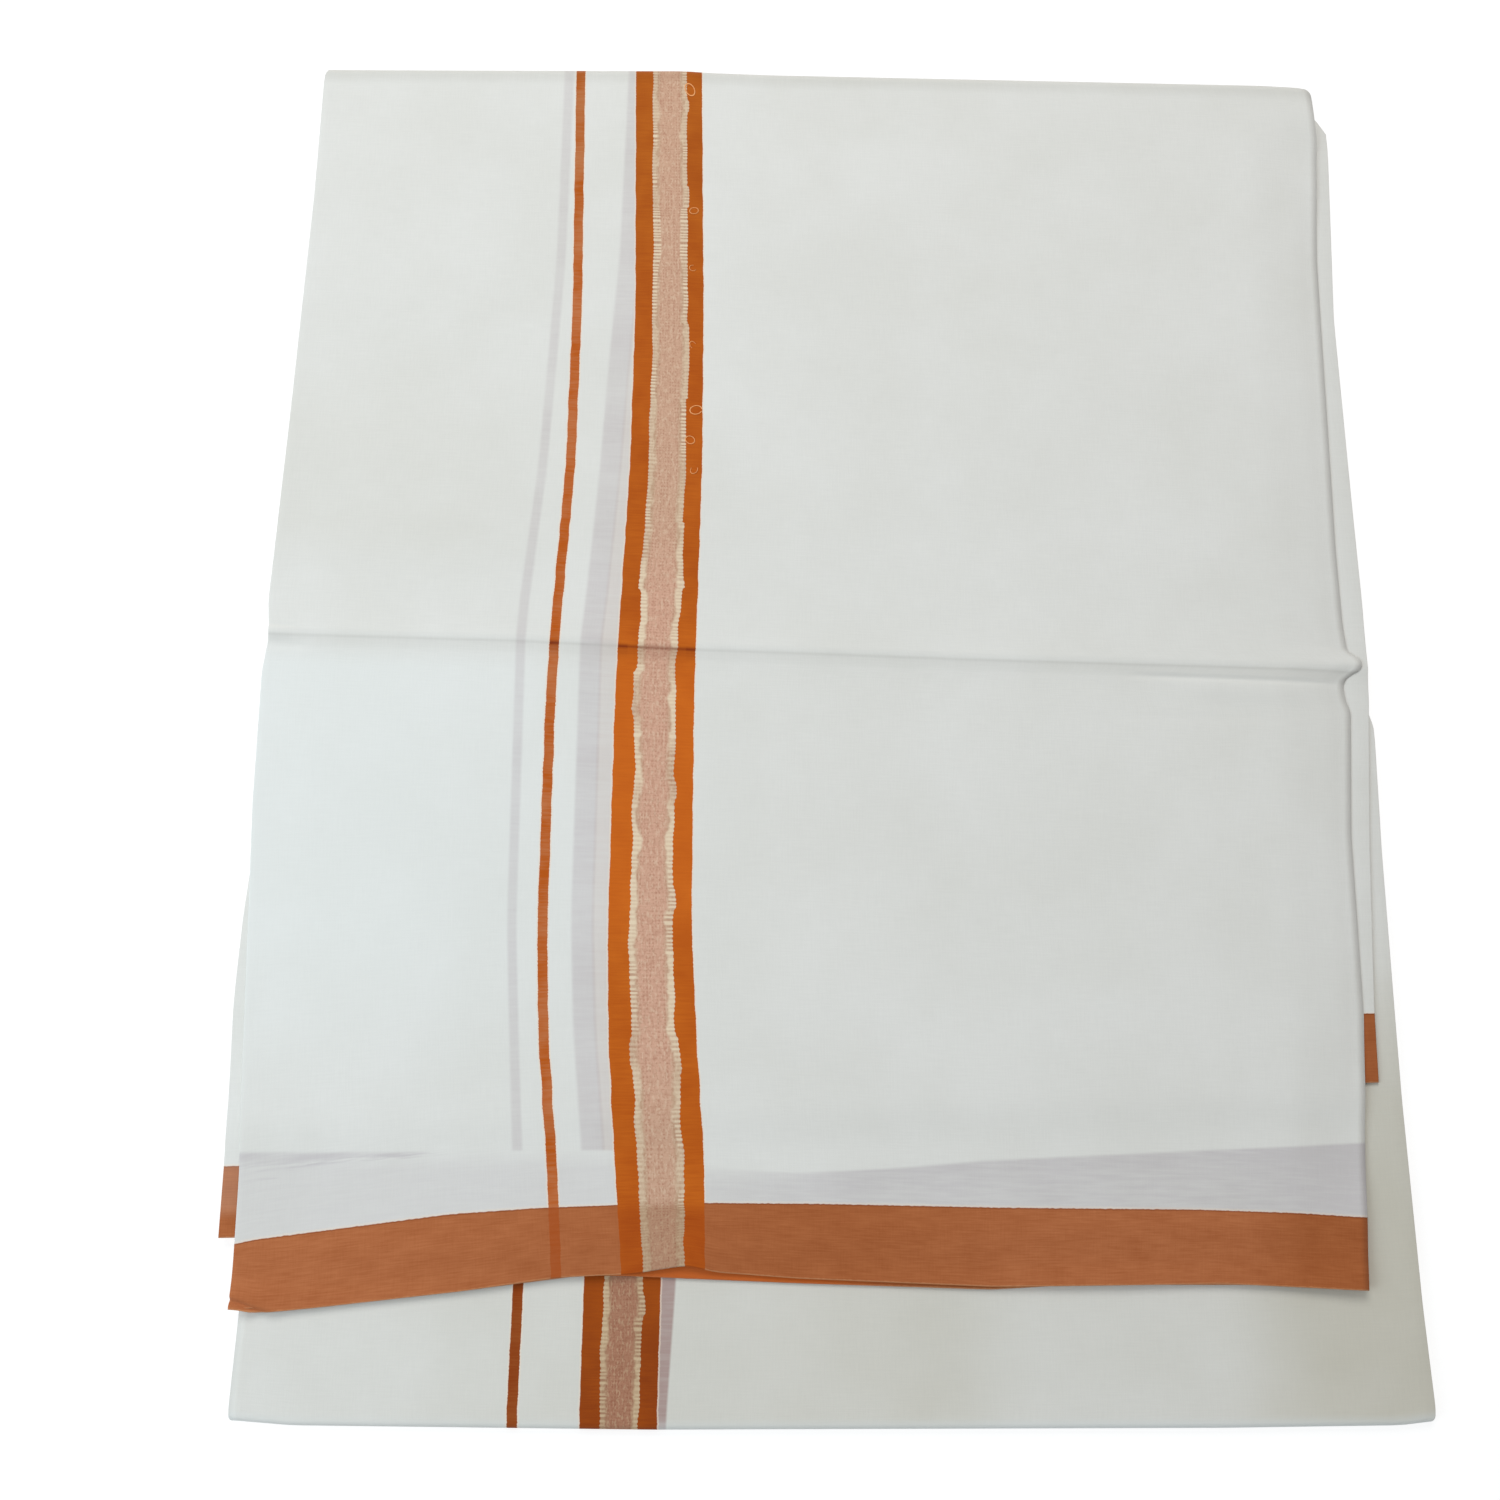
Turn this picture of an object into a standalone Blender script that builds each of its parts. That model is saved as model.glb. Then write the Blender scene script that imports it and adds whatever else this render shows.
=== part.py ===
"""A folded dhoti: one long cotton cloth with woven borders, folded flat and lying on a surface.

The cloth is folded along its length into a narrow strip, and that strip is folded across:
the front flap and the layers behind it hang from the top fold, the back panel runs on below
them and turns under at the bottom fold. Each stretch that shows is a wall of its own; the
folds that don't show are one solid, layered at its edges, with a flat underside.

Metres. +X is the right edge, +Y the top fold, +Z up. The origin is the middle of the
footprint, on the surface that the cloth rests on.
"""

import math

import bpy
import bmesh

# Driving sizes
WALL = 0.0010               # one stretch of cloth
FRONT_WALL = 0.0012         # the front flap, the outermost stretch
GAP = 0.0003                # air between neighbouring stretches
FOLD_HEIGHT = 0.0012        # one hidden fold, two thicknesses of cloth and the air in them
FOLD_COUNT = 3
ROLL_END = math.radians(78)  # how far past level each roll turns under

# Levels of the undersides, from the surface up
PILE_TOP = FOLD_COUNT * FOLD_HEIGHT
BACK_LEVEL = PILE_TOP + GAP
RIGHT_LEVEL = BACK_LEVEL + WALL + GAP
LEFT_LEVEL = RIGHT_LEVEL + WALL + GAP
SECOND_LEVEL = LEFT_LEVEL + WALL + GAP
FRONT_LEVEL = SECOND_LEVEL + WALL + GAP
TOP_ROLL = (FRONT_LEVEL + FRONT_WALL) / 2    # outer radius of the top fold
BOTTOM_ROLL = (BACK_LEVEL + WALL) / 2        # outer radius of the bottom fold

# Columns: y, x of the edge there
FRONT_LEFT = (
    (0.3100, -0.2330),
    (0.3050, -0.2350),
    (0.2400, -0.2365),
    (0.1400, -0.2410),
    (0.0420, -0.2460),
    (0.0260, -0.2445),
    (0.0080, -0.2470),
    (-0.0500, -0.2475),
    (-0.1700, -0.2445),
    (-0.2100, -0.2436),
    (-0.2400, -0.2438),
    (-0.2650, -0.2450),
)
FRONT_RIGHT = (
    (0.2990, 0.2380),
    (0.2940, 0.2405),
    (0.2700, 0.2420),
    (0.2080, 0.2385),
    (0.0650, 0.2345),
    (0.0280, 0.2335),
    (0.0110, 0.2375),
    (0.0030, 0.2335),
    (-0.0060, 0.2375),
    (-0.0650, 0.2340),
    (-0.1420, 0.2335),
    (-0.2030, 0.2295),
    (-0.2600, 0.2255),
)
LEFT_UNDER_LEFT = (
    (0.3100, -0.2335),
    (0.1400, -0.2385),
    (0.0420, -0.2430),
    (-0.0500, -0.2455),
    (-0.0760, -0.2470),
    (-0.1000, -0.2492),
    (-0.1360, -0.2510),
    (-0.1770, -0.2505),
    (-0.2000, -0.2510),
    (-0.2360, -0.2515),
)
RIGHT_UNDER_RIGHT = (
    (0.3050, 0.2325),
    (0.2900, 0.2380),
    (0.2815, 0.2445),
    (0.2770, 0.2480),
    (0.2650, 0.2482),
    (0.1790, 0.2447),
    (0.0900, 0.2462),
    (0.0400, 0.2473),
    (-0.0040, 0.2468),
    (-0.0715, 0.2420),
    (-0.1420, 0.2385),
    (-0.1710, 0.2380),
)
BACK_LEFT = (
    (0.3100, -0.2325),
    (0.1400, -0.2375),
    (-0.0500, -0.2415),
    (-0.2600, -0.2410),
    (-0.3030, -0.2432),
    (-0.3080, -0.2425),
    (-0.3100, -0.2400),
)
BACK_RIGHT = (
    (0.3050, 0.2315),
    (0.2850, 0.2405),
    (0.1400, 0.2430),
    (0.0000, 0.2450),
    (-0.0100, 0.2465),
    (-0.0160, 0.2487),
    (-0.0715, 0.2477),
    (-0.1780, 0.2478),
    (-0.2600, 0.2495),
    (-0.3030, 0.2515),
    (-0.3080, 0.2505),
    (-0.3100, 0.2480),
)

# Columns: x, y of the line there
TOP_FOLD = (
    (-0.2355, 0.3070),
    (-0.2215, 0.3095),
    (-0.0615, 0.3102),
    (-0.0475, 0.3080),
    (-0.0195, 0.3065),
    (0.1405, 0.3030),
    (0.2155, 0.3012),
    (0.2365, 0.3000),
    (0.2425, 0.2980),
)
INNER_TOP_FOLD = (
    (-0.2355, 0.3060),
    (-0.0615, 0.3065),
    (0.2425, 0.2965),
)
BOTTOM_FOLD = (
    (-0.2425, -0.3065),
    (-0.2175, -0.3085),
    (-0.0695, -0.3102),
    (0.1645, -0.3095),
    (0.2375, -0.3085),
    (0.2515, -0.3068),
)
INNER_BOTTOM_FOLD = ((-0.2425, -0.3062), (0.2515, -0.3065))
UNDER_CORNER = ((-0.2355, 0.3005), (0.2480, 0.2940))    # the top of the right underlayer's cut corner
FRONT_HEM = (
    (-0.2430, -0.2625),
    (-0.2320, -0.2640),
    (-0.2110, -0.2622),
    (-0.1490, -0.2555),
    (-0.1090, -0.2500),
    (-0.0790, -0.2487),
    (-0.0560, -0.2450),
    (-0.0430, -0.2480),
    (-0.0090, -0.2505),
    (0.0710, -0.2537),
    (0.1660, -0.2525),
    (0.2260, -0.2550),
)
SECOND_HEM = (
    (-0.2435, -0.2560),
    (-0.1245, -0.2490),
    (-0.0835, -0.2495),
    (-0.0095, -0.2525),
    (0.0705, -0.2550),
    (0.1155, -0.2525),
    (0.2255, -0.2520),
)
LEFT_UNDER_HEM = ((-0.2505, -0.2345), (0.2275, -0.2240))
RIGHT_UNDER_HEM = ((-0.2440, -0.1850), (0.2390, -0.1710))
CREASE = ((-0.2435, 0.0255), (0.2375, 0.0087))

# The pressed crease. Columns: distance from its line towards the top fold, height
CREASE_PROFILE = (
    (-0.0265, 0.0000),
    (-0.0115, 0.0001),
    (-0.0055, 0.0004),
    (-0.0015, 0.0009),
    (0.0015, 0.0013),
    (0.0050, 0.0015),
    (0.0095, 0.0011),
    (0.0165, 0.0005),
    (0.0275, 0.0000),
)

# Where the front hem lifts off. Columns: x, y, reach along x, reach along y, height
HEM_LIFTS = (
    (-0.2395, -0.2620, 0.030, 0.016, 0.0012),
    (-0.0565, -0.2450, 0.026, 0.014, 0.0014),
    (0.1155, -0.2540, 0.050, 0.014, 0.0006),
    (0.2265, -0.2550, 0.045, 0.026, 0.0020),
)

HEM_DROP_START = 0.002      # how far past a hidden hem the layers above it stay level
HEM_DROP_LENGTH = 0.019     # how far they take to come down
HEM_DROP_MIDDLE = 0.010     # a row line part of the way down
HEM_LINE = 0.0085           # a row line just inside each hem, so that the hem stays sharp
HEM_EDGE_LINE = 0.0035      # one more, nearer, on the front flap
RIGHT_HEM_LINE = 0.029      # the same on the right underlayer, whose cut end is long and even
CORNER_ROWS = (-0.0270, -0.0160, -0.0125, -0.0070)    # row lines down the right underlayer's corner

# How far each hidden side edge stands in from the edge of the front flap on that side
SECOND_INSET = 0.0015
LEFT_UNDER_INSET = 0.0025
RIGHT_UNDER_INSET = 0.0030

# How many points run across each stretch
FRONT_COLUMNS = 29
SECOND_COLUMNS = 15
UNDER_COLUMNS = 11
BACK_COLUMNS = 15

# The hidden folds, lowest first. Columns: how far each stands in at the left, right, bottom and top
FOLD_INSETS = (
    (0.0050, 0.0045, 0.0045, 0.0062),
    (0.0022, 0.0050, 0.0019, 0.0046),
    (0.0040, 0.0020, 0.0015, 0.0032),
)
# One fold's rounded edge. Columns: share of its height, share of its half height that it stands in
FOLD_SECTION = (
    (0.0, 0.75),
    (0.22, 0.18),
    (0.5, 0.0),
    (0.78, 0.18),
    (1.0, 0.75),
)
FOLD_CORNER = 0.006         # radius of the hidden folds' corners, seen from above
FOLD_SIDE_PARTS = 9         # straight parts along each of their sides
FOLD_CORNER_STEPS = 3

COTTON = (0.78, 0.79, 0.77)
COTTON_SHADED = (0.70, 0.70, 0.67)


def read_table(rows, at):
    """The second column where the first is `at`, on straight lines between the rows."""
    rows = sorted(rows)
    if at <= rows[0][0]:
        return rows[0][1]
    for (start, low), (end, high) in zip(rows, rows[1:]):
        if at <= end:
            return low + (high - low) * (at - start) / (end - start)
    return rows[-1][1]


def line(table, offset=0.0):
    """A line across the cloth: y as a function of x."""
    return lambda x: read_table(table, x) + offset


def between_at(low, high, share):
    """The line at a share of the way from one line to another."""
    return lambda x: low(x) + (high(x) - low(x)) * share


def between(low, high, count):
    """Lines evenly spread between two lines, without the two."""
    return [between_at(low, high, (i + 1) / (count + 1)) for i in range(count)]


def edge(table, inset=0.0):
    """A side edge: x as a function of y, moved by `inset`."""
    return lambda y: read_table(table, y) + inset


def place(left, right, row, across):
    """The point of a row line that lies `across` (0 to 1) from the left to the right edge."""
    x = 0.0
    for _ in range(6):
        y = row(x)
        x = left(y) + (right(y) - left(y)) * across
    return x, row(x)


def ease(share):
    """0 to 1, soft at both ends."""
    share = min(max(share, 0.0), 1.0)
    return share * share * (3.0 - 2.0 * share)


def crease_height(x, y):
    return read_table(CREASE_PROFILE, y - read_table(CREASE, x))


def hem_drop(hem, x, y):
    """How far the cloth above a hidden hem has come down, at a point past that hem."""
    past = read_table(hem, x) - HEM_DROP_START - y
    return (WALL + GAP) * ease(past / HEM_DROP_LENGTH)


def hem_lift(x, y):
    """How far the front hem stands off at a point."""
    total = 0.0
    for at_x, at_y, reach_x, reach_y, height in HEM_LIFTS:
        away = math.hypot((x - at_x) / reach_x, (y - at_y) / reach_y)
        total += height * ease(1.0 - away)
    return total


def level_at(level, hidden_hems, x, y):
    drop = sum(hem_drop(hem, x, y) for hem in hidden_hems)
    return level + crease_height(x, y) - drop


def cotton_material(name, color):
    material = bpy.data.materials.new(name)
    material.use_nodes = True
    shader = material.node_tree.nodes["Principled BSDF"]
    shader.inputs["Base Color"].default_value = (*color, 1.0)
    shader.inputs["Roughness"].default_value = 0.9
    shader.inputs["Metallic"].default_value = 0.0
    return material


def add_object(name, bm, color):
    mesh = bpy.data.meshes.new(name)
    bm.to_mesh(mesh)
    bm.free()
    part = bpy.data.objects.new(name, mesh)
    part.data.materials.append(cotton_material(name, color))
    bpy.context.collection.objects.link(part)
    return part


def cloth_wall(name, points, wall, color):
    """A wall of cloth from rows of points on its underside, thickened upwards and outwards."""
    rows = len(points)
    columns = len(points[0])
    bm = bmesh.new()
    bmesh.ops.create_grid(bm, x_segments=columns - 1, y_segments=rows - 1, size=0.5)
    spots = sorted(bm.verts, key=lambda vert: (round(vert.co.y, 5), round(vert.co.x, 5)))
    for index, vert in enumerate(spots):
        vert.co = points[index // columns][index % columns]
    part = add_object(name, bm, color)
    solidify = part.modifiers.new("wall", "SOLIDIFY")
    solidify.thickness = wall
    solidify.offset = 1.0
    solidify.use_even_offset = True
    return part


def flat_rows(lines, left, right, columns, height):
    """Rows of points on row lines, at the height that `height` gives."""
    rows = []
    for row in lines:
        spots = [place(left, right, row, i / (columns - 1)) for i in range(columns)]
        rows.append([(x, y, height(x, y)) for x, y in spots])
    return rows


def roll_rows(fold, side, outer, wall, left, right, columns, steps):
    """Rows of points round a fold, on the inside of the wall, from its top downwards."""
    inner = outer - wall
    rows = []
    for step in range(1, steps + 1):
        turn = step / steps * (math.pi / 2 + ROLL_END)
        forward = side * (inner * math.sin(turn) - outer)
        spots = [place(left, right, line(fold, forward), i / (columns - 1)) for i in range(columns)]
        rows.append([(x, y, outer + inner * math.cos(turn)) for x, y in spots])
    return rows


def crease_lines():
    return [line(CREASE, distance) for distance, _ in CREASE_PROFILE]


def hanging_layer(name, level, hem_lines, upper_lines, left, right, hidden_hems, columns):
    """A stretch of cloth from its hem up to just inside the top fold."""
    crease = crease_lines()
    lines = [
        *hem_lines,
        *between(hem_lines[-1], crease[0], 3),
        *crease,
        *between(crease[-1], upper_lines[0], 4),
        *upper_lines,
    ]
    points = flat_rows(lines, left, right, columns, lambda x, y: level_at(level, hidden_hems, x, y))
    return cloth_wall(name, points, WALL, COTTON)


def under_roll(level):
    """How far a layer at this level may reach past the top fold's centre and stay inside it."""
    room = TOP_ROLL - FRONT_WALL - GAP
    corner = max(abs(level - TOP_ROLL), abs(level + WALL - TOP_ROLL))
    return math.sqrt(max(room * room - corner * corner, 0.0)) - TOP_ROLL


def right_hem_lines():
    """Row lines of a layer that comes down over the right underlayer's hem, from the low end up."""
    past = (HEM_DROP_START + HEM_DROP_LENGTH, HEM_DROP_START + HEM_DROP_MIDDLE, HEM_DROP_START)
    return [line(RIGHT_UNDER_HEM, -distance) for distance in past]


def build_front_flap():
    left = edge(FRONT_LEFT)
    right = edge(FRONT_RIGHT)
    hidden_hems = (RIGHT_UNDER_HEM, LEFT_UNDER_HEM)

    def height(x, y):
        return level_at(FRONT_LEVEL, hidden_hems, x, y) + hem_lift(x, y)

    crease = crease_lines()
    upper = line(TOP_FOLD, -TOP_ROLL)
    over_right_hem = right_hem_lines()
    lines = [
        line(FRONT_HEM),
        line(FRONT_HEM, HEM_EDGE_LINE),
        line(FRONT_HEM, HEM_LINE),
        line(LEFT_UNDER_HEM, -HEM_DROP_START - HEM_EDGE_LINE),
        line(LEFT_UNDER_HEM, -HEM_DROP_START),
        line(LEFT_UNDER_HEM, HEM_LINE),
        *over_right_hem,
        *between(over_right_hem[-1], crease[0], 6),
        *crease,
        *between(crease[-1], upper, 8),
        upper,
    ]
    points = flat_rows(lines, left, right, FRONT_COLUMNS, height)
    points += roll_rows(TOP_FOLD, 1, TOP_ROLL, FRONT_WALL, left, right, FRONT_COLUMNS, 8)
    return cloth_wall("front_flap", points, FRONT_WALL, COTTON)


def build_second_layer():
    hem_lines = [
        line(SECOND_HEM),
        line(SECOND_HEM, HEM_LINE),
        line(LEFT_UNDER_HEM, -HEM_DROP_START),
        *right_hem_lines(),
    ]
    return hanging_layer(
        "second_layer",
        SECOND_LEVEL,
        hem_lines,
        [line(INNER_TOP_FOLD, under_roll(SECOND_LEVEL))],
        edge(FRONT_LEFT, SECOND_INSET),
        edge(FRONT_RIGHT, -SECOND_INSET),
        (RIGHT_UNDER_HEM, LEFT_UNDER_HEM),
        SECOND_COLUMNS,
    )


def build_left_underlayer():
    hem_lines = [line(LEFT_UNDER_HEM), line(LEFT_UNDER_HEM, HEM_LINE), *right_hem_lines()]
    return hanging_layer(
        "left_underlayer",
        LEFT_LEVEL,
        hem_lines,
        [line(INNER_TOP_FOLD, under_roll(LEFT_LEVEL))],
        edge(LEFT_UNDER_LEFT),
        edge(FRONT_RIGHT, -LEFT_UNDER_INSET),
        (RIGHT_UNDER_HEM,),
        UNDER_COLUMNS,
    )


def build_right_underlayer():
    hem_lines = [line(RIGHT_UNDER_HEM), line(RIGHT_UNDER_HEM, RIGHT_HEM_LINE)]
    upper = line(INNER_TOP_FOLD, under_roll(RIGHT_LEVEL))
    corner_lines = [line(UNDER_CORNER, drop) for drop in CORNER_ROWS]
    return hanging_layer(
        "right_underlayer",
        RIGHT_LEVEL,
        hem_lines,
        [*corner_lines, upper],
        edge(FRONT_LEFT, RIGHT_UNDER_INSET),
        edge(RIGHT_UNDER_RIGHT),
        (),
        UNDER_COLUMNS,
    )


def build_back_panel():
    left = edge(BACK_LEFT)
    right = edge(BACK_RIGHT)
    crease = crease_lines()
    upper = line(INNER_TOP_FOLD, under_roll(BACK_LEVEL))
    lower = line(BOTTOM_FOLD, BOTTOM_ROLL)
    lines = [
        lower,
        *between(lower, crease[0], 7),
        *crease,
        *between(crease[-1], upper, 3),
        upper,
    ]

    def height(x, y):
        return level_at(BACK_LEVEL, (), x, y)

    turned = roll_rows(BOTTOM_FOLD, -1, BOTTOM_ROLL, WALL, left, right, BACK_COLUMNS, 7)
    points = turned[::-1]
    points += flat_rows(lines, left, right, BACK_COLUMNS, height)
    return cloth_wall("back_panel", points, WALL, COTTON_SHADED)


def corner_shares(round_x, round_y):
    """A unit square's outline with round corners, from the bottom right corner round."""
    middles = (
        (1 - round_x, round_y),
        (1 - round_x, 1 - round_y),
        (round_x, 1 - round_y),
        (round_x, round_y),
    )
    shares = []
    for corner, (mid_x, mid_y) in enumerate(middles):
        for step in range(FOLD_CORNER_STEPS + 1):
            turn = math.pi / 2 * (corner - 1 + step / FOLD_CORNER_STEPS)
            shares.append((mid_x + round_x * math.cos(turn), mid_y + round_y * math.sin(turn)))
    return shares


def divide_sides(shares):
    """The same outline, with its long sides in several parts."""
    ring = []
    for (ax, ay), (bx, by) in zip(shares, shares[1:] + shares[:1]):
        long_side = math.hypot(bx - ax, by - ay) > 0.5
        parts = FOLD_SIDE_PARTS if long_side else 1
        for part in range(parts):
            share = part / parts
            ring.append((ax + (bx - ax) * share, ay + (by - ay) * share))
    return ring


def fold_outline(insets, extra):
    """One ring round the hidden folds, seen from above."""
    in_left, in_right, in_bottom, in_top = (inset + extra for inset in insets)
    left = edge(BACK_LEFT, in_left)
    right = edge(BACK_RIGHT, -in_right)
    bottom = line(INNER_BOTTOM_FOLD, in_bottom)
    top = line(INNER_TOP_FOLD, -in_top)
    round_x = FOLD_CORNER / (right(0.0) - left(0.0))
    round_y = FOLD_CORNER / (top(0.0) - bottom(0.0))
    points = []
    for across, up in divide_sides(corner_shares(round_x, round_y)):
        row = between_at(bottom, top, up)
        points.append(place(left, right, row, across))
    return points


def fold_rings():
    """The rings from the underside up, with their heights: two folds share the ring where they meet."""
    rings = []
    for fold, insets in enumerate(FOLD_INSETS):
        above = FOLD_INSETS[min(fold + 1, FOLD_COUNT - 1)]
        meeting = tuple(max(here, there) for here, there in zip(insets, above))
        for share, stand_in in FOLD_SECTION:
            if share == 0.0 and fold > 0:
                continue
            ring_insets = meeting if share == 1.0 else insets
            outline = fold_outline(ring_insets, stand_in * FOLD_HEIGHT / 2)
            height = (fold + share) * FOLD_HEIGHT
            rings.append([(x, y, height) for x, y in outline])
    return rings


def build_hidden_folds():
    """The folds that don't show: rounded edges one above another, on a flat underside."""
    bm = bmesh.new()
    rings = [[bm.verts.new(point) for point in ring] for ring in fold_rings()]
    bm.faces.new(rings[0])
    for low, high in zip(rings, rings[1:]):
        for i in range(len(low)):
            j = (i + 1) % len(low)
            bm.faces.new((low[i], low[j], high[j], high[i]))
    bm.faces.new(rings[-1])
    bmesh.ops.recalc_face_normals(bm, faces=bm.faces)
    return add_object("hidden_folds", bm, COTTON_SHADED)


def main():
    for old in list(bpy.data.objects):
        bpy.data.objects.remove(old)
    build_hidden_folds()
    build_back_panel()
    build_right_underlayer()
    build_left_underlayer()
    build_second_layer()
    build_front_flap()


main()
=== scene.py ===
# A folded dhoti: fine white cotton with woven orange selvedges and cross stripes, folded flat.
# In metres. +X is the right edge, +Y the top fold, +Z up, as in the CAD model.
import math

import bmesh
import bpy
import numpy as np
from mathutils import Matrix


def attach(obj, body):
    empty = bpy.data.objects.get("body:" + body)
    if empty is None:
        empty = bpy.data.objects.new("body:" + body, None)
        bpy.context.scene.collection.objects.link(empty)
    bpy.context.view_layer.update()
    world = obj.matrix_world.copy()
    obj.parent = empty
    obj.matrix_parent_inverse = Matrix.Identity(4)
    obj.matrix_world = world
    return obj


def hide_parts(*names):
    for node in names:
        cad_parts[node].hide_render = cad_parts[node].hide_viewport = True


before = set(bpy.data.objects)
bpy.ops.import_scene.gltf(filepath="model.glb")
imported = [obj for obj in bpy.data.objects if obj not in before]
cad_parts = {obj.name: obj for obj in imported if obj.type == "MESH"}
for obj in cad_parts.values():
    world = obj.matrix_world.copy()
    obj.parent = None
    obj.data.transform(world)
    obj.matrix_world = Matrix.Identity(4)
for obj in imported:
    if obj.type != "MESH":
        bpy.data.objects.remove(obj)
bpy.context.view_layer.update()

# -------------------------------- sizes

CLOTH = 0.00035             # thickness of one leaf of cloth
LEVELS = {                  # the top of each folded stretch, and how deep its two leaves lie
    "front": (0.0103, 0.0012),
    "second": (0.0088, 0.0010),
    "left_under": (0.0075, 0.0010),
    "right_under": (0.0062, 0.0010),
    "back": (0.0049, 0.0010),
    "fold_high": (0.0036, 0.0012),
    "fold_low": (0.0024, 0.0012),
    "rear": (0.0012, 0.0012),
}
DROP = 0.0013               # how far a layer comes down past a hem that lies under it
DROP_START = 0.002
DROP_LENGTH = 0.019
HEM_BAND = 0.033            # width of the woven selvedge
UNDER_BAND = 0.029          # the same, where it slants away under the front
TURNED_UNDER = 0.094        # length of the panel that is turned under at the bottom fold
FOLD_START = TURNED_UNDER + LEVELS["back"][0]

SETTLE_REACH = 0.034        # how far in from the right edge the stack is pressed flatter
SETTLE_SHARE = 0.60
EDGE_REACH = 0.012          # the last stretch, where the front comes down past the layers inside
EDGE_DROP = 0.0011
WEAVE = 0.00045             # pitch of the threads
PICK = 0.0018               # pitch of the cream picks
CHAIN = 0.00135             # pitch of the chains of knots between them
STRIPE_SOFT = 0.00025       # how soft the stripes' edges are
HALO = 0.0006               # how far their dye has spread into the white
STRIPE_ROUNDING = 0.008     # how softly their course bends
CREASE_BELOW = -0.026       # the rows round the pressed crease start here, from its line,
CREASE_ABOVE = 0.030        # and end here
ROLL_SPACE = 0.0016         # cloth and air between the top fold's outside and the layers in it
LIP_STEPS = 6
FITTING_ROUNDS = 5          # rounds in which rows and columns are fitted to each other
TOP_TURN = math.radians(168)    # how far the front turns over the top fold
LOOP_RADIUS = 0.002
THREAD_RADIUS = 0.00018
THREAD_SIDES = 5

# Thread coordinates of a leaf. Across, they start at the left edge of the wide band
FLAP_LENGTH = 0.551         # from the hem to the start of the top fold
STRIPED_LEAF = (-0.157, 0.331)
PLAIN_LEAF = (0.05, 0.54)
THIN_LINE = (-0.0295, -0.0252)
WIDE_BAND = (0.0, 0.0343)
METALLIC_BAND = (0.0090, 0.0262)


def metres(*rows):
    """A table that is written in millimetres."""
    return [tuple(value / 1000 for value in row) for row in rows]


# Side edges. Columns: y, x of the edge there
FRONT_LEFT = metres(
    (310, -233), (305, -235), (240, -236.5), (140, -241), (42, -246), (26, -244.5), (8, -247),
    (-50, -247.5), (-170, -244.5), (-210, -243.6), (-240, -243.8), (-265, -245),
)
FRONT_RIGHT = metres(
    (299, 238), (294, 240.5), (270, 242), (208, 238.5), (65, 236.8), (28, 237.4), (17, 238.4),
    (15, 243.2), (11.2, 244.3), (8, 241.8), (6.2, 237), (1, 235.2), (-5, 236.2), (-10, 238),
    (-65, 234), (-142, 233.5), (-203, 229.5), (-260, 225.5),
)
LEFT_UNDER_LEFT = metres(
    (310, -233.5), (140, -238.5), (42, -243), (-50, -245.5), (-76, -247), (-100, -249.2),
    (-136, -251), (-177, -250.5), (-200, -251), (-236, -251.5),
)
RIGHT_UNDER_RIGHT = metres(
    (305, 232.5), (290, 238), (281.5, 244.5), (277, 248), (265, 248.2), (179, 244.7), (90, 246.2),
    (40, 247.3), (-4, 246.8), (-71.5, 242), (-142, 238.5), (-171, 238),
)
BACK_LEFT = metres(
    (310, -232.5), (140, -237.5), (-50, -241.5), (-260, -241), (-303, -243.2), (-308, -242.5),
    (-310, -240),
)
BACK_RIGHT = metres(
    (305, 231.5), (285, 240.5), (140, 243), (0, 245), (-10, 246.5), (-16, 248.7), (-71.5, 247.7),
    (-178, 247.8), (-260, 249.5), (-303, 251.5), (-308, 250.5), (-310, 248),
)

# Folds, hems and the crease. Columns: x, y of the line there
TOP_FOLD = metres(
    (-235.5, 309.8), (-221.5, 309.6), (-61.5, 309), (-47.5, 308), (-19.5, 306.8), (140.5, 303),
    (215.5, 301.2), (236.5, 300), (242.5, 298),
)
INNER_TOP_FOLD = metres((-235.5, 306), (-61.5, 306.5), (242.5, 296.5))
BOTTOM_FOLD = metres(
    (-242.5, -306.5), (-217.5, -308.5), (-69.5, -310.2), (164.5, -309.5), (237.5, -308.5),
    (251.5, -306.8),
)
INNER_BOTTOM_FOLD = metres((-242.5, -306.2), (251.5, -306.5))
FRONT_HEM = metres(
    (-243, -262.5), (-232, -264), (-211, -262.2), (-149, -255.5), (-109, -250), (-79, -248.7),
    (-56, -245), (-43, -248), (-9, -250.5), (71, -253.7), (166, -252.5), (226, -255),
)
FRONT_BAND_TOP = metres(
    (-243.6, -236.8), (-236.7, -235), (-195.5, -229.8), (-154.2, -224.6), (-116.9, -222.1),
    (-83.6, -220.9), (-48.2, -220.1), (0, -220.5), (74.5, -222), (157.7, -222.8), (199.2, -224.2),
    (226.5, -226),
)
SECOND_HEM = metres(
    (-243.5, -256), (-124.5, -249), (-83.5, -249.5), (-9.5, -252.5), (70.5, -255), (115.5, -252.5),
    (225.5, -252),
)
LEFT_UNDER_HEM = metres((-250.5, -234.5), (227.5, -224))
RIGHT_UNDER_HEM = metres((-244, -185), (239, -171))
CREASE = metres((-243.5, 25.5), (-134.5, 22.4), (-53.6, 18.3), (67.7, 13.7), (237.5, 8.7))

# The pressed crease. Columns: distance from its line towards the top fold, height
CREASE_PROFILE = metres(
    (-24, 0), (-11, 0.1), (-5.5, 0.4), (-1.4, 0.9), (0.5, 1.4), (2.2, 1.5), (6, 1.1), (11, 0.7),
    (18, 0.3), (29, 0),
)

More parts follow.
